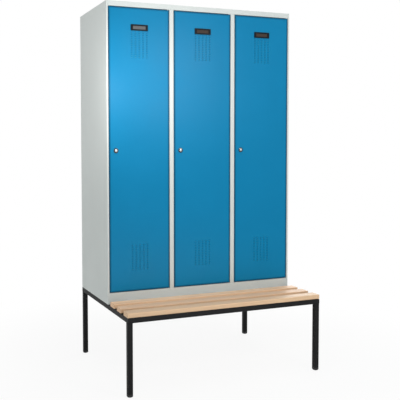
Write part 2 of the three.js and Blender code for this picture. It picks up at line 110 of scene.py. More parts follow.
def soft_lamp(name, place, target, size, power):
    """A rectangular lamp at a place, turned to a target, with its width and height and its watts."""
    lamp = bpy.data.objects.new(name, bpy.data.lights.new(name, "AREA"))
    lamp.data.shape = "RECTANGLE"
    lamp.data.size, lamp.data.size_y = size
    lamp.data.energy = power
    lamp.location = place
    lamp.rotation_mode = "QUATERNION"
    lamp.rotation_quaternion = (Vector(target) - Vector(place)).to_track_quat("-Z", "Y")
    bpy.context.collection.objects.link(lamp)


soft_lamp("key_lamp", (-0.66, -0.56, 1.66), (-0.42, -0.09, 1.64), (0.9, 0.2), 3.5)
soft_lamp("low_lamp", (0.0, -1.7, 0.25), (0, -0.1, 0.6), (2.0, 0.5), 3.8)
soft_lamp("side_lamp", (-4.0, 0.6, 1.6), (-0.6, 0.15, 1.3), (3.0, 2.4), 22)
soft_lamp("ceiling_lamp", (0, -1.2, 4.5), (0, 0, 0), (4.0, 3.0), 60)
soft_lamp("rear_lamp", (3.2, 2.6, 2.4), (0.3, 0.1, 1.2), (2.5, 2.0), 45)
soft_lamp("glaze_lamp", (0.68, -2.14, 1.95), (-0.2, -0.09, 1.75), (0.7, 0.7), 12)

surround = bpy.data.worlds.new("surround")
surround.use_nodes = True
surround.node_tree.nodes.clear()
path = new_node(surround.node_tree, "ShaderNodeLightPath")
seen = new_node(surround.node_tree, "ShaderNodeMath", {
    0: path.outputs["Is Camera Ray"], 1: path.outputs["Is Glossy Ray"]}, operation="MAXIMUM")
seen = new_node(surround.node_tree, "ShaderNodeMath", {
    0: seen.outputs[0], 1: path.outputs["Is Transmission Ray"]}, operation="MAXIMUM")
lighting = new_node(surround.node_tree, "ShaderNodeBackground", {
    "Color": (0.97, 0.985, 1.0, 1), "Strength": 0.42})
backdrop = new_node(surround.node_tree, "ShaderNodeBackground", {"Color": WHITE, "Strength": 1.0})
mixed = new_node(surround.node_tree, "ShaderNodeMixShader", {
    0: seen.outputs[0], 1: lighting.outputs[0], 2: backdrop.outputs[0]})
new_node(surround.node_tree, "ShaderNodeOutputWorld", {"Surface": mixed.outputs[0]})
bpy.context.scene.world = surround

FLOOR_SIZE = 60
bpy.ops.mesh.primitive_plane_add(size=FLOOR_SIZE, location=(0, 0, 0))
floor = bpy.context.object
floor.name = "floor"
paper = blank_material("floor_paper")
path = new_node(paper.node_tree, "ShaderNodeLightPath")
place = new_node(paper.node_tree, "ShaderNodeTexCoord").outputs["Object"]
distance = new_node(paper.node_tree, "ShaderNodeVectorMath", {0: place}, operation="LENGTH")
fading = new_node(paper.node_tree, "ShaderNodeMapRange", {
    "Value": distance.outputs["Value"], "From Min": 0.8, "From Max": 2.0,
    "To Min": 0.90, "To Max": 1.0}, interpolation_type="SMOOTHSTEP")
share = new_node(paper.node_tree, "ShaderNodeMath", {
    0: path.outputs["Is Camera Ray"], 1: fading.outputs[0]}, operation="MULTIPLY")
matt = new_node(paper.node_tree, "ShaderNodeBsdfDiffuse", {"Color": (0.82, 0.83, 0.82, 1)})
glow = new_node(paper.node_tree, "ShaderNodeEmission", {"Color": WHITE, "Strength": 1.0})
mixed = new_node(paper.node_tree, "ShaderNodeMixShader", {
    0: share.outputs[0], 1: matt.outputs[0], 2: glow.outputs[0]})
new_node(paper.node_tree, "ShaderNodeOutputMaterial", {"Surface": mixed.outputs[0]})
floor.data.materials.append(paper)
floor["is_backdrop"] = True

# Frame tubes
# Square steel tube, welded and powder coated black: a rectangle of four mitred rails, a cross
# rail under the front of the lockers, and four legs butted up against the corners.
TUBE_CORNER = 0.003
MITRE_GAP = 0.00004
FRAME_BLACK = (0.0055, 0.0055, 0.0058)
# Lengths under this one count as nothing.
TINY = 0.00001


def new_group(name, inputs, outputs):
    """A node group with the sockets that are named, each with its kind of value."""
    group = bpy.data.node_groups.new(name, "ShaderNodeTree")
    for way, sockets in (("INPUT", inputs), ("OUTPUT", outputs)):
        for socket, kind in sockets.items():
            group.interface.new_socket(socket, in_out=way, socket_type="NodeSocket" + kind)
    return group


def powder_coat_group():
    """Sprayed and baked paint: a fine orange peel, cloudy tone, and a thinner film on edges."""
    group = new_group(
        "powder_coat",
        {"Color": "Color", "Roughness": "Float", "Edge Tone": "Float"},
        {"Color": "Color", "Roughness": "Float", "Height": "Float"})
    entry = new_node(group, "NodeGroupInput")
    place = new_node(group, "ShaderNodeTexCoord").outputs["Object"]
    peel = new_node(group, "ShaderNodeTexNoise", {
        "Vector": place, "Scale": 700.0, "Detail": 2.0, "Roughness": 0.5})
    cloud = new_node(group, "ShaderNodeTexNoise", {
        "Vector": place, "Scale": 3.5, "Detail": 4.0, "Roughness": 0.55})
    tone = new_node(group, "ShaderNodeMapRange", {
        "Value": cloud.outputs[0], "From Min": 0.3, "From Max": 0.7, "To Min": 0.975, "To Max": 1.025})
    geometry = new_node(group, "ShaderNodeNewGeometry")
    edge = new_node(group, "ShaderNodeMapRange", {
        "Value": geometry.outputs["Pointiness"], "From Min": 0.52, "From Max": 0.62,
        "To Min": 0.0, "To Max": entry.outputs["Edge Tone"]})
    edge_gain = new_node(group, "ShaderNodeMath", {
        0: edge.outputs[0], 1: tone.outputs[0]}, operation="ADD")
    toned = new_node(group, "ShaderNodeVectorMath", {
        0: entry.outputs["Color"], "Scale": edge_gain.outputs[0]}, operation="SCALE")
    shine = new_node(group, "ShaderNodeMapRange", {
        "Value": cloud.outputs[0], "From Min": 0.3, "From Max": 0.7, "To Min": -0.04, "To Max": 0.04})
    rough = new_node(group, "ShaderNodeMath", {
        0: entry.outputs["Roughness"], 1: shine.outputs[0]}, operation="ADD")
    new_node(group, "NodeGroupOutput", {
        "Color": toned.outputs[0], "Roughness": rough.outputs[0], "Height": peel.outputs[0]})
    return group


POWDER_COAT = powder_coat_group()


def coated(name, color, roughness, edge_tone, gloss, peel_depth=0.00002):
    """Powder coated steel in one colour. gloss is the share of a plain varnish's reflection."""
    material = blank_material(name)
    tree = material.node_tree
    coat = new_node(tree, "ShaderNodeGroup", node_tree=POWDER_COAT)
    coat.inputs["Color"].default_value = (*color, 1)
    coat.inputs["Roughness"].default_value = roughness
    coat.inputs["Edge Tone"].default_value = edge_tone
    bump = new_node(tree, "ShaderNodeBump", {
        "Height": coat.outputs["Height"], "Strength": 0.35, "Distance": peel_depth})
    paint = new_node(tree, "ShaderNodeBsdfPrincipled", {
        "Base Color": coat.outputs["Color"], "Roughness": coat.outputs["Roughness"],
        "Specular IOR Level": gloss, "Normal": bump.outputs["Normal"]})
    new_node(tree, "ShaderNodeOutputMaterial", {"Surface": paint.outputs[0]})
    return material


BODY_OF = {
    node: body
    for body, nodes in frame["record"]["behaviour"]["bodies"].items()
    for node in nodes
}


def stands_for(piece, node, material):
    """Names a finished piece, gives it its material and puts it in its CAD part's place."""
    piece.name = node + "_made"
    piece.data.materials.clear()
    piece.data.materials.append(material)
    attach(piece, BODY_OF[node])
    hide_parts(node)


def pick(*pieces):
    """Selects only these pieces and makes the first one active."""
    bpy.ops.object.select_all(action="DESELECT")
    for piece in pieces:
        piece.select_set(True)
    bpy.context.view_layer.objects.active = pieces[0]


def select(piece, kind, wanted):
    """In edit mode, selects only the edges or the faces of a piece that pass the test."""
    bpy.ops.mesh.select_mode(type=kind)
    bpy.ops.mesh.select_all(action="DESELECT")
    mesh = bmesh.from_edit_mesh(piece.data)
    for part in mesh.edges if kind == "EDGE" else mesh.faces:
        part.select_set(wanted(part))
    bmesh.update_edit_mesh(piece.data)


def runs_along(edge, axis):
    step = edge.verts[1].co - edge.verts[0].co
    return abs(step[axis]) > 0.999 * step.length


def new_block(low, high):
    """A block between two corners, with its place in its mesh."""
    low, high = Vector(low), Vector(high)
    bpy.ops.object.select_all(action="DESELECT")
    bpy.ops.mesh.primitive_cube_add(size=1, location=(low + high) / 2)
    block = bpy.context.object
    block.scale = high - low
    bpy.ops.object.transform_apply(location=True, rotation=True, scale=True)
    return block


def round_edges(piece, wanted, radius, segments):
    """Rounds the edges that pass the test, with this many facets."""
    bpy.ops.object.mode_set(mode="EDIT")
    select(piece, "EDGE", wanted)
    bpy.ops.mesh.bevel(offset=radius, segments=segments, affect="EDGES")
    bpy.ops.object.mode_set(mode="OBJECT")


def change(piece, kind, **settings):
    """Puts one modifier on a piece and applies it."""
    modifier = piece.modifiers.new(kind.lower(), kind)
    for name, value in settings.items():
        setattr(modifier, name, value)
    pick(piece)
    bpy.ops.object.modifier_apply(modifier=modifier.name)


def smooth(piece, angle=35):
    """Shades the piece smooth, up to an angle, with its flat faces kept flat."""
    pick(piece)
    bpy.ops.object.shade_smooth_by_angle(angle=radians(angle))
    change(piece, "WEIGHTED_NORMAL", keep_sharp=True)
    return piece


def tube(low, high):
    """A square tube between two corners, with its four long edges rounded."""
    piece = new_block(low, high)
    along = max(range(3), key=lambda axis: high[axis] - low[axis])
    round_edges(piece, lambda edge: runs_along(edge, along), TUBE_CORNER, segments=5)
    return piece


frame_paint = coated("frame_black", FRAME_BLACK, roughness=0.45, edge_tone=0.8, gloss=0.15)
frame_low, frame_high = Vector((cad_low.x, cad_low.y, 0)), Vector((cad_high.x, cad_high.y, 0))
rail_low, rail_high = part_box("front_rail")
frame_low.z, frame_high.z = rail_low.z, rail_high.z
tube_width = rail_high.z - rail_low.z


def rail(node, side, axis):
    """One side of the frame's rectangle, cut at 45 degrees at both ends."""
    low, high = frame_low.copy(), frame_high.copy()
    across = 1 - axis
    if side > 0:
        low[across] = high[across] - tube_width
    else:
        high[across] = low[across] + tube_width
    piece = tube(low, high)
    for end in (-1, 1):
        corner = Vector((0, 0, 0))
        corner[axis] = (frame_high if end > 0 else frame_low)[axis] - end * MITRE_GAP
        corner[across] = (frame_high if side > 0 else frame_low)[across]
        outward = Vector((0, 0, 0))
        outward[axis], outward[across] = end, -side
        bpy.ops.object.mode_set(mode="EDIT")
        bpy.ops.mesh.select_all(action="SELECT")
        bpy.ops.mesh.bisect(
            plane_co=corner, plane_no=outward, use_fill=True, clear_outer=True)
        bpy.ops.object.mode_set(mode="OBJECT")
    stands_for(smooth(piece), node, frame_paint)


rail("front_rail", -1, 0)
rail("rear_rail", 1, 0)
rail("left_rail", -1, 1)
rail("right_rail", 1, 1)

cross_low, cross_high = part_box("cross_rail")
cross_low.x, cross_high.x = frame_low.x + tube_width, frame_high.x - tube_width
stands_for(smooth(tube(cross_low, cross_high)), "cross_rail", frame_paint)

CORNERS = ("front_left", "front_right", "rear_left", "rear_right")
for corner in CORNERS:
    leg_low, leg_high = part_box(corner + "_leg")
    leg_high.z = frame_low.z
    stands_for(smooth(tube(leg_low, leg_high)), corner + "_leg", frame_paint)

# Feet
# Moulded plastic caps pushed into the open ends of the legs, as wide as the tube, with a domed
# sole turned to a flat of 18 mm.
SOLE_FLAT = 0.009
SOLE_ROUNDING = 0.013
SOLE_STEPS = 10
FOOT_BLACK = (0.012, 0.012, 0.0125)


def draw_line(points):
    """A chain of edges through the points, left selected in edit mode."""
    bpy.ops.object.select_all(action="DESELECT")
    bpy.ops.mesh.primitive_plane_add(size=TINY, location=points[0])
    bpy.ops.object.transform_apply(location=True, rotation=True, scale=True)
    bpy.ops.object.mode_set(mode="EDIT")
    bpy.ops.mesh.select_mode(type="VERT")
    bpy.ops.mesh.select_all(action="SELECT")
    bpy.ops.mesh.merge(type="CENTER")
    for start, end in zip(points, points[1:]):
        bpy.ops.mesh.extrude_region_move(
            TRANSFORM_OT_translate={"value": Vector(end) - Vector(start)})
    bpy.ops.mesh.select_all(action="SELECT")
    return bpy.context.object


def turned(profile, foot, axis, steps):
    """A shape turned on a lathe, from its radius at each height along the axis."""
    foot, axis = Vector(foot), Vector(axis)
    across = Vector((0, 0, 1)) if abs(axis.z) < 0.5 else Vector((1, 0, 0))
    piece = draw_line([foot + across * radius + axis * height for radius, height in profile])
    bpy.ops.mesh.spin(steps=steps, angle=2 * pi, center=foot, axis=axis)
    bpy.ops.mesh.select_all(action="SELECT")
    bpy.ops.mesh.remove_doubles(threshold=TINY)
    bpy.ops.mesh.normals_make_consistent(inside=False)
    bpy.ops.object.mode_set(mode="OBJECT")
    return piece


def combined(piece, other, operation):
    """Cuts a piece by another solid, or to what both share, and uses the other one up."""
    change(piece, "BOOLEAN", operation=operation, solver="EXACT", object=other)
    bpy.data.objects.remove(other)
    return piece


def joined(pieces):
    """Several solids as one piece."""
    pick(*pieces)
    bpy.ops.object.join()
    return pieces[0]


foot_plastic = coated("foot_black", FOOT_BLACK, roughness=0.55, edge_tone=0.3, gloss=0.4,
                      peel_depth=0.00004)
foot_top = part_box("front_left_leg")[0].z
sole_reach = tube_width * 2 ** 0.5 / 2 - SOLE_FLAT
for corner in CORNERS:
    foot_low, foot_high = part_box(corner + "_foot")
    foot_low.z, foot_high.z = 0, foot_top
    middle = (foot_low + foot_high) / 2
    dome = [(0, 0)] + [
        (SOLE_FLAT + sole_reach * sin(step / SOLE_STEPS * pi / 2),
         SOLE_ROUNDING * (1 - cos(step / SOLE_STEPS * pi / 2)))
        for step in range(SOLE_STEPS + 1)]
    dome += [(dome[-1][0], 2 * foot_top), (0, 2 * foot_top)]
    cap = tube(foot_low - Vector((0, 0, tube_width)), foot_high)
    sole = turned(dome, (middle.x, middle.y, 0), (0, 0, 1), steps=64)
    stands_for(smooth(combined(cap, sole, "INTERSECT")), corner + "_foot", foot_plastic)

# Bench slats
# Three planed beech battens with rounded long edges and clear lacquer. They lie across the two
# side rails of the frame, in front of the lockers.
SLAT_ROUNDING = 0.004
SLAT_CHAMFER = 0.0012


def beech_group():
    """Beech: faint growth rings round a pith under the batten, short dark flecks, soft bands."""
    group = new_group(
        "beech",
        {"Light": "Color", "Dark": "Color", "Pith": "Vector"},
        {"Color": "Color", "Roughness": "Float", "Height": "Float"})
    entry = new_node(group, "NodeGroupInput")
    place = new_node(group, "ShaderNodeTexCoord").outputs["Object"]
    from_pith = new_node(group, "ShaderNodeVectorMath", {
        0: place, 1: entry.outputs["Pith"]}, operation="SUBTRACT")
    wander = new_node(group, "ShaderNodeTexNoise", {
        "Vector": new_node(group, "ShaderNodeMapping", {
            "Vector": from_pith.outputs[0], "Scale": (1.6, 14.0, 14.0)}).outputs[0],
        "Scale": 1.0, "Detail": 3.0, "Roughness": 0.5})
    flat = new_node(group, "ShaderNodeVectorMath", {
        0: from_pith.outputs[0], 1: (0.0, 1.0, 1.0)}, operation="MULTIPLY")
    radius = new_node(group, "ShaderNodeVectorMath", {0: flat.outputs[0]}, operation="LENGTH")
    drift = new_node(group, "ShaderNodeMath", {
        0: wander.outputs[0], 1: 0.028, 2: radius.outputs["Value"]}, operation="MULTIPLY_ADD")
    turns = new_node(group, "ShaderNodeMath", {
        0: drift.outputs[0], 1: 1450.0}, operation="MULTIPLY")
    ring = new_node(group, "ShaderNodeMath", {0: turns.outputs[0]}, operation="SINE")
    ring_share = new_node(group, "ShaderNodeMapRange", {
        "Value": ring.outputs[0], "From Min": -1.0, "From Max": 1.0, "To Min": 0.0, "To Max": 0.40})
    band = new_node(group, "ShaderNodeTexNoise", {
        "Vector": new_node(group, "ShaderNodeMapping", {
            "Vector": from_pith.outputs[0], "Scale": (1.2, 45.0, 45.0)}).outputs[0],
        "Scale": 1.0, "Detail": 4.0, "Roughness": 0.6})
    fleck = new_node(group, "ShaderNodeTexNoise", {
        "Vector": new_node(group, "ShaderNodeMapping", {
            "Vector": from_pith.outputs[0], "Scale": (110.0, 1300.0, 1300.0)}).outputs[0],
        "Scale": 1.0, "Detail": 2.0, "Roughness": 0.6})
    fleck_share = new_node(group, "ShaderNodeMapRange", {
        "Value": fleck.outputs[0], "From Min": 0.58, "From Max": 0.75, "To Min": 0.0, "To Max": 0.55})
    tone = new_node(group, "ShaderNodeMapRange", {
        "Value": band.outputs[0], "From Min": 0.3, "From Max": 0.7, "To Min": 0.0, "To Max": 0.6})
    tone = new_node(group, "ShaderNodeMath", {
        0: tone.outputs[0], 1: ring_share.outputs[0]}, operation="ADD")
    tone = new_node(group, "ShaderNodeMath", {
        0: tone.outputs[0], 1: fleck_share.outputs[0]}, operation="ADD", use_clamp=True)
    color = new_node(group, "ShaderNodeMix", {
        0: tone.outputs[0], 6: entry.outputs["Light"], 7: entry.outputs["Dark"]}, data_type="RGBA")
    rough = new_node(group, "ShaderNodeMapRange", {
        "Value": tone.outputs[0], "From Min": 0.0, "From Max": 1.0, "To Min": 0.38, "To Max": 0.50})
    height = new_node(group, "ShaderNodeMath", {
        0: 1.0, 1: tone.outputs[0]}, operation="SUBTRACT")
    new_node(group, "NodeGroupOutput", {
        "Color": color.outputs[2], "Roughness": rough.outputs[0], "Height": height.outputs[0]})
    return group


BEECH = beech_group()


def lacquered_beech(number, pith, light, dark):
    """The wood of one batten, cut from its own place in a tree."""
    material = blank_material(f"beech_{number}")
    tree = material.node_tree
    wood = new_node(tree, "ShaderNodeGroup", node_tree=BEECH)
    wood.inputs["Light"].default_value = (*light, 1)
    wood.inputs["Dark"].default_value = (*dark, 1)
    wood.inputs["Pith"].default_value = pith
    bump = new_node(tree, "ShaderNodeBump", {
        "Height": wood.outputs["Height"], "Strength": 0.25, "Distance": 0.0001})
    lacquer = new_node(tree, "ShaderNodeBsdfPrincipled", {
        "Base Color": wood.outputs["Color"], "Roughness": wood.outputs["Roughness"],
        "Specular IOR Level": 0.35, "Normal": bump.outputs["Normal"]})
    new_node(tree, "ShaderNodeOutputMaterial", {"Surface": lacquer.outputs[0]})
    return material


# For each batten: a point on the tree's pith, and the light and the dark tone of the wood.
BATTENS = {
    1: ((0.31, -0.47, 0.30), (0.84, 0.59, 0.375), (0.695, 0.455, 0.27)),
    2: ((-1.7, -0.20, 0.34), (0.85, 0.575, 0.365), (0.685, 0.43, 0.257)),
    3: ((3.3, -0.19, 0.28), (0.94, 0.63, 0.395), (0.76, 0.475, 0.28)),
}
for number, (pith, light, dark) in BATTENS.items():
    node = f"seat_slat_{number}"
    slat = new_block(*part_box(node))
    round_edges(slat, lambda edge: runs_along(edge, 0), SLAT_ROUNDING, segments=5)
    round_edges(slat, lambda edge: abs(edge.verts[0].co.x - edge.verts[1].co.x) < TINY,
                SLAT_CHAMFER, segments=2)
    stands_for(smooth(slat), node, lacquered_beech(number, pith, light, dark))

# Side walls
# One sheet of steel each, folded round the back and, beside the door opening, into a closed box
# that makes the narrow front strip. The stop strip is spot welded behind the left one.
SHEET = 0.001
FOLD_RADIUS = 0.0014
EDGE_BREAK = 0.0002
STRIP_WIDTH = 0.010
CONTACT_GAP = 0.0003
BODY_GREY = (0.660, 0.700, 0.680)


def made_sheet(shell, is_fold=lambda edge: len(edge.link_faces) == 2):
    """Turns an open shell into sheet steel, with rounded folds and its thickness inwards."""
    round_edges(shell, is_fold, FOLD_RADIUS, segments=4)
    change(shell, "SOLIDIFY", thickness=SHEET, offset=-1, use_even_offset=True)
    return shell


def folded_sheet(line, run, outside):
    """A sheet bent along the line of its outer face and run out along its folds. The first leg's
    outer face looks to the given side."""
    piece = draw_line(line)
    bpy.ops.mesh.extrude_region_move(TRANSFORM_OT_translate={"value": run})
    bpy.ops.mesh.select_all(action="SELECT")
    bpy.ops.mesh.normals_make_consistent(inside=False)
    first = (Vector(line[0]) + Vector(line[1]) + Vector(run)) / 2
    mesh = bmesh.from_edit_mesh(piece.data)
    leg = min(mesh.faces, key=lambda face: (face.calc_center_median() - first).length)
    if leg.normal.dot(Vector(outside)) < 0:
        bpy.ops.mesh.flip_normals()
    bpy.ops.object.mode_set(mode="OBJECT")
    return made_sheet(piece)


def plate(low, high):
    """A flat piece of sheet with its edges broken."""
    piece = new_block(low, high)
    round_edges(piece, lambda edge: True, EDGE_BREAK, segments=1)
    return piece


body_paint = coated("body_grey", BODY_GREY, roughness=0.45, edge_tone=0.0, gloss=0.25)
stop_low, stop_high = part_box("stop_strip")
for node, side in (("left_side_panel", -1), ("right_side_panel", 1)):
    wall_low, wall_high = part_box(node)
    outer = wall_high.x if side > 0 else wall_low.x
    strip_inner = outer - side * STRIP_WIDTH
    rear_inner = wall_low.x if side > 0 else wall_high.x
    box_rear = stop_low.y - CONTACT_GAP
    route = [(rear_inner, wall_high.y), (outer, wall_high.y), (outer, wall_low.y),
             (strip_inner, wall_low.y), (strip_inner, box_rear), (outer - side * SHEET, box_rear)]
    line = [(x, y, wall_low.z) for x, y in route]
    wall = folded_sheet(line, (0, 0, wall_high.z - wall_low.z), (0, 1, 0))
    stands_for(smooth(wall), node, body_paint)
stands_for(smooth(plate(stop_low, stop_high)), "stop_strip", body_paint)

# Partitions
# A flat web of sheet steel, spot welded to the back of a box section whose front is the strip
# between two doors. The box carries the stop that the door on its right shuts against.
STOP_WIDTH = 0.006
FASCIA_FOLD = 0.022


def open_up(piece, wanted):
    """Takes away the faces that pass the test."""
    bpy.ops.object.mode_set(mode="EDIT")
    select(piece, "FACE", wanted)
    bpy.ops.mesh.delete(type="FACE")
    bpy.ops.object.mode_set(mode="OBJECT")


for number in (1, 2):
    node = f"partition_{number}"
    low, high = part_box(node)
    box_right, box_rear, box_top = high.x - STOP_WIDTH, stop_high.y, stop_high.z
    middle = (low.x + box_right) / 2
    ring = new_block(low, (box_right, box_rear, box_top))
    open_up(ring, lambda face: abs(face.normal.z) > 0.9)
    made_sheet(ring)
    web = plate((middle - SHEET / 2, box_rear, low.z), (middle + SHEET / 2, high.y, high.z))
    notch_rear = low.y + FASCIA_FOLD + CONTACT_GAP
    notch = new_block((low.x, low.y, box_top), (high.x, notch_rear, high.z + SHEET))
    stop = plate((box_right - SHEET, stop_low.y, low.z), (high.x, box_rear, box_top))
    combined(web, notch, "DIFFERENCE")
    stands_for(smooth(joined([ring, web, stop])), node, body_paint)

# Top, base and back
# The top and the base are trays: one folded sheet with a fascia at the front, and two end
# plates. The back is a flat sheet behind them.
REAR_FLANGE = 0.020
PIN_HOLE_RADIUS = 0.0044
CUT_REACH = 0.010
BAYS = (1, 2, 3)


def drill(piece, radius, reach, middle, axis, steps=32):
    """Cuts a round hole that reaches equally far to both sides of its middle."""
    bit = turned([(0, -reach), (radius, -reach), (radius, reach), (0, reach)], middle, axis, steps)
    combined(piece, bit, "DIFFERENCE")


def tray(node, face_z, fold_z, flange_z, pin_name):
    """A tray with its flat face at one height and the fold under its fascia at another."""
    low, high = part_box(node)
    fold_rear = low.y + FASCIA_FOLD
    route = [(high.y, flange_z), (high.y, face_z), (low.y, face_z), (low.y, fold_z),
             (fold_rear, fold_z)]
    sheet = folded_sheet([(low.x, y, z) for y, z in route], (high.x - low.x, 0, 0), (0, 1, 0))
    box_rear = stop_high.y + CONTACT_GAP
    for side in (-1, 1):
        inner = side * (high.x - STRIP_WIDTH + SHEET)
        outer = side * (high.x + CUT_REACH)
        corner = new_block((min(inner, outer), low.y - CUT_REACH, low.z - CUT_REACH),
                           (max(inner, outer), box_rear, high.z + CUT_REACH))
        combined(sheet, corner, "DIFFERENCE")
    for bay in BAYS:
        pin_low, pin_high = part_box(f"{pin_name}_{bay}")
        drill(sheet, PIN_HOLE_RADIUS, CUT_REACH, (pin_low + pin_high) / 2, (0, 0, 1))
    inward = SHEET if fold_z > face_z else -SHEET
    heights = sorted((face_z + inward, flange_z))
    ends = [plate((x, box_rear, heights[0]), (x + SHEET, high.y - SHEET, heights[1]))
            for x in (low.x, high.x - SHEET)]
    stands_for(smooth(joined([sheet, *ends])), node, body_paint)


top_low, top_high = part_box("top_panel")
tray("top_panel", top_high.z, top_low.z, top_high.z - REAR_FLANGE, "upper_hinge_pin")
base_low, base_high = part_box("base_panel")
tray("base_panel", base_high.z, base_low.z, base_low.z, "lower_hinge_pin")
stands_for(smooth(plate(*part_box("back_panel"))), "back_panel", body_paint)

# Hat shelves
# A shelf of folded sheet steel in each compartment, with a lip turned down all round that
# stiffens it. It is fixed between the walls and painted as they are.
for bay in BAYS:
    node = f"hat_shelf_{bay}"
    shelf = new_block(*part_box(node))
    open_up(shelf, lambda face: face.normal.z < -0.9)
    stands_for(smooth(made_sheet(shelf)), node, body_paint)

# Doors
# Each door is a folded steel pan with two fields of punched vent slots and a hole for the lock,
# powder coated blue inside and out. Its blue is darkened along the outline with painted shade,
# the shade of the gaps round the door. A hat-shaped rail stiffens the door behind its face.
DOOR_LIP = 0.012
VENT_COLUMNS, VENT_ROWS = 5, 15
VENT_PITCH_X, VENT_PITCH_Z = 0.023, 0.010
SLOT_WIDTH, SLOT_HEIGHT = 0.011, 0.0016
TOP_VENT_DROP, BOTTOM_VENT_RISE = 0.209, 0.195
PUNCH_DEPTH = 8 * SHEET
SLOT_ROUNDING = 0.45 * SLOT_HEIGHT
LOCK_HOLE_RADIUS, LOCK_HOLE_REACH = 0.0098, 0.005
PIN_HOLE_REACH = 0.030
DOOR_GAP = 0.003
HAT_BRIM = 0.010
# Painted shade along each door's outline: its width, and the share of the blue left at the very edge.
SHADE_BORDER_WIDTH, SHADE_BORDER_TONE = 0.014, 0.42
DOOR_BLUE = (0.003, 0.215, 0.428)
DOOR_FINISH = {"roughness": 0.32, "edge_tone": 0.0, "gloss": 0.12}


def painted_edge_shade_group():
    """Painted shade for an upright panel's paint: a tone that falls along the outline of the box from
    Low to High.
    """
    group = new_group("painted_edge_shade", {"Low": "Vector", "High": "Vector"}, {"Tone": "Float"})
    entry = new_node(group, "NodeGroupInput")
    place = new_node(group, "ShaderNodeTexCoord").outputs["Object"]
    from_low = new_node(group, "ShaderNodeVectorMath", {
        0: place, 1: entry.outputs["Low"]}, operation="SUBTRACT")
    from_high = new_node(group, "ShaderNodeVectorMath", {
        0: entry.outputs["High"], 1: place}, operation="SUBTRACT")
    nearest = new_node(group, "ShaderNodeVectorMath", {
        0: from_low.outputs[0], 1: from_high.outputs[0]}, operation="MINIMUM")
    sides = new_node(group, "ShaderNodeSeparateXYZ", {"Vector": nearest.outputs[0]})
    depth = new_node(group, "ShaderNodeMath", {
        0: sides.outputs["X"], 1: sides.outputs["Z"]}, operation="MINIMUM")
    tone = new_node(group, "ShaderNodeMapRange", {
        "Value": depth.outputs[0], "From Min": 0.0, "From Max": SHADE_BORDER_WIDTH,
        "To Min": SHADE_BORDER_TONE, "To Max": 1.0}, interpolation_type="SMOOTHSTEP")
    new_node(group, "NodeGroupOutput", {"Tone": tone.outputs[0]})
    return group


PAINTED_EDGE_SHADE = painted_edge_shade_group()


def door_paint(bay):
    """The paint of one door, darkened with painted shade along its outline."""
    material = coated(f"door_blue_{bay}", DOOR_BLUE, **DOOR_FINISH)
    tree = material.node_tree
    # Painted shade: the blue is darkened along the door's outline, where the gaps throw shade.
    border = new_node(tree, "ShaderNodeGroup", node_tree=PAINTED_EDGE_SHADE)
    border.inputs["Low"].default_value, border.inputs["High"].default_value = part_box(f"door_{bay}")
    base = tree.nodes["Principled BSDF"].inputs["Base Color"]
    shaded_blue = new_node(tree, "ShaderNodeVectorMath", {
        0: base.links[0].from_socket, "Scale": border.outputs["Tone"]}, operation="SCALE")
    tree.links.new(shaded_blue.outputs[0], base)
    return material


def copied(piece, shift):
    """The same piece in another compartment, with a mesh of its own."""
    twin = piece.copy()
    twin.data = piece.data.copy()
    twin.data.transform(Matrix.Translation(shift))
    bpy.context.collection.objects.link(twin)
    return twin


def in_each_bay(piece, name, materials):
    """Puts a piece of the first compartment into all three, with a material for each."""
    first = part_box(f"{name}_1")[0]
    pieces = [piece] + [copied(piece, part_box(f"{name}_{bay}")[0] - first) for bay in BAYS[1:]]
    for bay, twin, material in zip(BAYS, pieces, materials):
        stands_for(twin, f"{name}_{bay}", material)


def vent_field(centre):
    """The punches of one field of slots, each with round ends."""
    size = Vector((SLOT_WIDTH, PUNCH_DEPTH, SLOT_HEIGHT))
    spread = Vector(((VENT_COLUMNS - 1) * VENT_PITCH_X, 0, (VENT_ROWS - 1) * VENT_PITCH_Z))
    first = centre - spread / 2
    punch = new_block(first - size / 2, first + size / 2)
    round_edges(punch, lambda edge: runs_along(edge, 1), SLOT_ROUNDING, segments=3)
    for count, step in ((VENT_COLUMNS, (VENT_PITCH_X, 0, 0)), (VENT_ROWS, (0, 0, VENT_PITCH_Z))):
        change(punch, "ARRAY", count=count, use_relative_offset=False,
               use_constant_offset=True, constant_offset_displace=step)
    return punch


def is_fold(edge):
    """Whether an edge bends by more than 45 degrees, and isn't a rim."""
    return len(edge.link_faces) == 2 and edge.calc_face_angle() > pi / 4


door_low, door_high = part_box("door_1")
door = new_block(door_low, door_high)
bpy.ops.object.mode_set(mode="EDIT")
select(door, "FACE", lambda face: face.normal.y > 0.9)
bpy.ops.mesh.inset(thickness=DOOR_LIP)
bpy.ops.mesh.delete(type="FACE")
bpy.ops.object.mode_set(mode="OBJECT")
made_sheet(door, is_fold)
door_middle = (door_low + door_high) / 2
for height in (door_high.z + DOOR_GAP - TOP_VENT_DROP, door_low.z - DOOR_GAP + BOTTOM_VENT_RISE):
    field = vent_field(Vector((door_middle.x, door_low.y, height)))
    combined(door, field, "DIFFERENCE")
lock_low, lock_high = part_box("lock_barrel_1")
lock_middle = (lock_low + lock_high) / 2
lock_foot = (lock_middle.x, door_low.y, lock_middle.z)
drill(door, LOCK_HOLE_RADIUS, LOCK_HOLE_REACH, lock_foot, (0, 1, 0), steps=48)
for pin in ("lower_hinge_pin_1", "upper_hinge_pin_1"):
    pin_low, pin_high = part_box(pin)
    drill(door, PIN_HOLE_RADIUS, PIN_HOLE_REACH, (pin_low + pin_high) / 2, (0, 0, 1))
in_each_bay(smooth(door), "door", [door_paint(bay) for bay in BAYS])

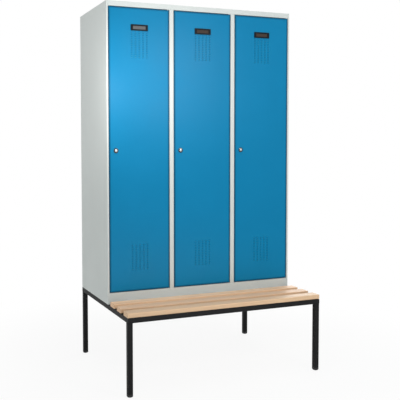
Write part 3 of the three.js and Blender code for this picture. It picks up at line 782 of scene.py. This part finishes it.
hat_low, hat_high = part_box("door_stiffener_1")
crown_low, crown_high = hat_low.x + HAT_BRIM, hat_high.x - HAT_BRIM
brim_y = hat_low.y + SHEET
hat = [(hat_low.x, brim_y), (crown_low, brim_y), (crown_low, hat_high.y),
       (crown_high, hat_high.y), (crown_high, brim_y), (hat_high.x, brim_y)]
stiffener = folded_sheet([(x, y, hat_low.z) for x, y in hat],
                         (0, 0, hat_high.z - hat_low.z), (0, 1, 0))
stiffener_paint = coated("stiffener_blue", DOOR_BLUE, **DOOR_FINISH)
in_each_bay(smooth(stiffener), "door_stiffener", [stiffener_paint] * len(BAYS))

# Labels
# A black moulded frame clipped to the door, with a plain card behind its window. The first card
# is painted paler than the other two, as a painted reflection of the glare on its window.
LABEL_CORNER = 0.003
LABEL_EDGE = 0.0007
WINDOW_CORNER = 0.001
WINDOW_WIDTH, WINDOW_HEIGHT = 0.078, 0.019
HOLDER_BLACK = (0.004, 0.006, 0.009)
# The first card's paler colour is a painted reflection of glare on its window.
GLARE_PAINTED_CARD, DARK_CARD = (0.130, 0.132, 0.135), (0.060, 0.042, 0.034)
holder_plastic = coated("holder_black", HOLDER_BLACK, roughness=0.4, edge_tone=0.4, gloss=0.12)
holder_low, holder_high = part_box("label_holder_1")
holder = new_block(holder_low, holder_high)
label_width, label_height = holder_high.x - holder_low.x, holder_high.z - holder_low.z
rim = (label_height - WINDOW_HEIGHT) / 2
bpy.ops.object.mode_set(mode="EDIT")
select(holder, "FACE", lambda face: abs(face.normal.y) > 0.9)
bpy.ops.mesh.inset(thickness=rim, use_boundary=True)
bpy.ops.transform.resize(
    value=(WINDOW_WIDTH / (label_width - 2 * rim), 1, 1),
    center_override=(holder_low + holder_high) / 2)
bpy.ops.mesh.bridge_edge_loops()
bpy.ops.object.mode_set(mode="OBJECT")
label_middle = (holder_low.x + holder_high.x) / 2
for nearest, furthest, radius, segments in (
        (label_width / 2 - TINY, label_width, LABEL_CORNER, 5),
        (0, WINDOW_WIDTH / 2 + TINY, WINDOW_CORNER, 3)):
    round_edges(holder, lambda edge: runs_along(edge, 1)
                and nearest < abs(edge.verts[0].co.x - label_middle) < furthest, radius, segments)
round_edges(holder, lambda edge: is_fold(edge)
            and edge.verts[0].co.y + edge.verts[1].co.y < 2 * holder_low.y + TINY,
            LABEL_EDGE, segments=3)
in_each_bay(smooth(holder), "label_holder", [holder_plastic] * len(BAYS))

# Painted reflection: the first card is paler to stand for glare on its window.
glare_painted_card = coated("label_card_painted_glare", GLARE_PAINTED_CARD, roughness=0.6, edge_tone=0.0, gloss=0.15)
dark_card = coated("label_card_dark", DARK_CARD, roughness=0.6, edge_tone=0.0, gloss=0.15)
card = plate(*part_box("label_card_1"))
in_each_bay(smooth(card), "label_card", [glare_painted_card, dark_card, dark_card])

# Cam locks
# A dark barrel with a round rosette is nutted into the door. A nickel-plated plug with a key
# slot turns in it and carries a steel cam on a square stud.
ROSETTE_RADIUS, ROSETTE_ROUNDING = 0.014, 0.0012
BARREL_RADIUS = 0.0095
BORE_RADIUS, BORE_CHAMFER = 0.0079, 0.0006
NUT_RADIUS, NUT_DEPTH = 0.013, 0.004
PLUG_RADIUS, PLUG_ROUNDING = 0.0075, 0.0009
KEY_SLOT_WIDTH, KEY_SLOT_HEIGHT, KEY_SLOT_DEPTH = 0.0016, 0.008, 0.006
KEY_SLOT_OVERRUN = 0.001
STUD_WIDTH, STUD_NUT_RADIUS = 0.007, 0.0055
CAM_ROUNDING = 0.0003
LOCK_DARK = (0.018, 0.020, 0.022)
NICKEL = (0.80, 0.81, 0.82)
ZINC = (0.52, 0.54, 0.55)


def plated(name, color, roughness):
    """Bare or plated metal with a cloudy, slightly uneven shine."""
    material = blank_material(name)
    tree = material.node_tree
    place = new_node(tree, "ShaderNodeTexCoord").outputs["Object"]
    cloud = new_node(tree, "ShaderNodeTexNoise", {
        "Vector": place, "Scale": 90.0, "Detail": 4.0, "Roughness": 0.6})
    rough = new_node(tree, "ShaderNodeMapRange", {
        "Value": cloud.outputs[0], "From Min": 0.3, "From Max": 0.7,
        "To Min": roughness - 0.06, "To Max": roughness + 0.06})
    metal = new_node(tree, "ShaderNodeBsdfPrincipled", {
        "Base Color": (*color, 1), "Metallic": 1.0, "Roughness": rough.outputs[0]})
    new_node(tree, "ShaderNodeOutputMaterial", {"Surface": metal.outputs[0]})
    return material


def on_lock_axis(profile, steps=64):
    """A piece of the first lock, turned on its axis, with heights measured from the door's face."""
    return turned(profile, lock_foot, (0, 1, 0), steps)


def rounded_rim(radius, front, rounding):
    """The outline of a disc's front rim, rounded in two facets."""
    return [(radius - rounding, front), (radius - rounding / 3, front + rounding / 3),
            (radius, front + rounding)]


def square_bar(width, height, front, rear):
    """The two corners of a bar on the lock's axis."""
    half = Vector((width / 2, 0, height / 2))
    return (Vector((lock_middle.x, front, lock_middle.z)) - half,
            Vector((lock_middle.x, rear, lock_middle.z)) + half)


barrel_metal = coated("lock_dark", LOCK_DARK, roughness=0.3, edge_tone=0.6, gloss=0.5)
nickel = plated("nickel", NICKEL, roughness=0.25)
zinc = plated("zinc_plate", ZINC, roughness=0.38)
rosette_front, barrel_rear = lock_low.y - door_low.y, lock_high.y - door_low.y
bore_edge = (BORE_RADIUS, rosette_front + BORE_CHAMFER)
barrel = on_lock_axis([
    bore_edge, (BORE_RADIUS + BORE_CHAMFER, rosette_front),
    *rounded_rim(ROSETTE_RADIUS, rosette_front, ROSETTE_ROUNDING),
    (ROSETTE_RADIUS, -CONTACT_GAP), (BARREL_RADIUS, -CONTACT_GAP),
    (BARREL_RADIUS, barrel_rear), (BORE_RADIUS, barrel_rear), bore_edge])
nut_front = SHEET + CONTACT_GAP
nut_rear = nut_front + NUT_DEPTH
nut = on_lock_axis([
    (BARREL_RADIUS, nut_front), (NUT_RADIUS, nut_front), (NUT_RADIUS, nut_rear),
    (BARREL_RADIUS, nut_rear), (BARREL_RADIUS, nut_front)], steps=6)
in_each_bay(smooth(joined([barrel, nut])), "lock_barrel", [barrel_metal] * len(BAYS))

plug_low, plug_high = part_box("lock_plug_1")
cam_low, cam_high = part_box("lock_cam_1")
plug_front, stud_rear = plug_low.y - door_low.y, plug_high.y - door_low.y
stud_front = cam_low.y - door_low.y - CONTACT_GAP
plug = on_lock_axis([
    (0, plug_front), *rounded_rim(PLUG_RADIUS, plug_front, PLUG_ROUNDING),
    (PLUG_RADIUS, stud_front), (0, stud_front)])
key_slot = new_block(*square_bar(KEY_SLOT_WIDTH, KEY_SLOT_HEIGHT,
                                 plug_low.y - KEY_SLOT_OVERRUN, plug_low.y + KEY_SLOT_DEPTH))
combined(plug, key_slot, "DIFFERENCE")
stud = plate(*square_bar(STUD_WIDTH, STUD_WIDTH, door_low.y + stud_front, plug_high.y))
stud_nut_front = cam_high.y - door_low.y + CONTACT_GAP
stud_nut = on_lock_axis([
    (0, stud_nut_front), (STUD_NUT_RADIUS, stud_nut_front), (STUD_NUT_RADIUS, stud_rear),
    (0, stud_rear)], steps=6)
in_each_bay(smooth(joined([plug, stud, stud_nut])), "lock_plug", [nickel] * len(BAYS))


def rounded_copy(node, radius):
    """A CAD part's shape with its triangles joined up and its outer edges rounded."""
    piece = bpy.data.objects.new(node, frame["nodes"][node].data.copy())
    bpy.context.collection.objects.link(piece)
    pick(piece)
    bpy.ops.mesh.customdata_custom_splitnormals_clear()
    bpy.ops.object.mode_set(mode="EDIT")
    bpy.ops.mesh.select_all(action="SELECT")
    bpy.ops.mesh.remove_doubles(threshold=TINY)
    bpy.ops.mesh.dissolve_limited(angle_limit=radians(0.5))
    bpy.ops.object.mode_set(mode="OBJECT")
    change(piece, "BEVEL", width=radius, segments=2, limit_method="ANGLE", angle_limit=radians(40))
    return smooth(piece)


for bay in BAYS:
    cam = f"lock_cam_{bay}"
    stands_for(rounded_copy(cam, CAM_ROUNDING), cam, zinc)

# Hinge pins
# Turned steel pins with a collar that the door turns on, one in the head and one in the sill of
# every door opening.
COLLAR_STEP = 0.0015
COLLAR_START, COLLAR_END = 0.0093, 0.0117
PIN_CHAMFER = 0.0005
for bay in BAYS:
    for node, way in ((f"lower_hinge_pin_{bay}", 1), (f"upper_hinge_pin_{bay}", -1)):
        low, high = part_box(node)
        collar_radius = (high.x - low.x) / 2
        pin_radius = collar_radius - COLLAR_STEP
        length = high.z - low.z
        foot = ((low.x + high.x) / 2, (low.y + high.y) / 2, low.z if way > 0 else high.z)
        pin = turned([
            (0, 0), (pin_radius - PIN_CHAMFER, 0), (pin_radius, PIN_CHAMFER),
            (pin_radius, COLLAR_START), (collar_radius, COLLAR_START),
            (collar_radius, COLLAR_END), (pin_radius, COLLAR_END),
            (pin_radius, length - PIN_CHAMFER), (pin_radius - PIN_CHAMFER, length), (0, length),
        ], foot, (0, 0, way), steps=32)
        stands_for(smooth(pin), node, zinc)

# Coat rails and hooks
# An oval chromed rail with an end plate at each wall, and a moulded double hook that slides on
# the rail.
RAIL_ROUNDING = 0.005
PLATE_THICKNESS = 0.002
PLATE_ROUNDING = 0.004
PLATE_RIM = 0.008
HOOK_ROUNDING = 0.0008
CHROME = (0.78, 0.79, 0.80)
HOOK_BLACK = (0.014, 0.014, 0.015)
chrome = plated("chrome", CHROME, roughness=0.12)
hook_plastic = coated("hook_black", HOOK_BLACK, roughness=0.5, edge_tone=0.3, gloss=0.4)
for bay in BAYS:
    node = f"coat_rail_{bay}"
    low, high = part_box(node)
    into_plate = Vector((PLATE_THICKNESS / 2, PLATE_RIM, PLATE_RIM))
    oval = new_block(low + into_plate, high - into_plate)
    round_edges(oval, lambda edge: runs_along(edge, 0), RAIL_ROUNDING, segments=6)
    plates = []
    for x in (low.x, high.x - PLATE_THICKNESS):
        end_plate = new_block((x, low.y, low.z), (x + PLATE_THICKNESS, high.y, high.z))
        round_edges(end_plate, lambda edge: runs_along(edge, 0), PLATE_ROUNDING, segments=5)
        plates.append(end_plate)
    stands_for(smooth(joined([oval, *plates])), node, chrome)
    hook = f"coat_hook_{bay}"
    stands_for(rounded_copy(hook, HOOK_ROUNDING), hook, hook_plastic)

# Sizes
# The box of the finished model, measured as the box of the CAD model was at the start.
low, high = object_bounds()
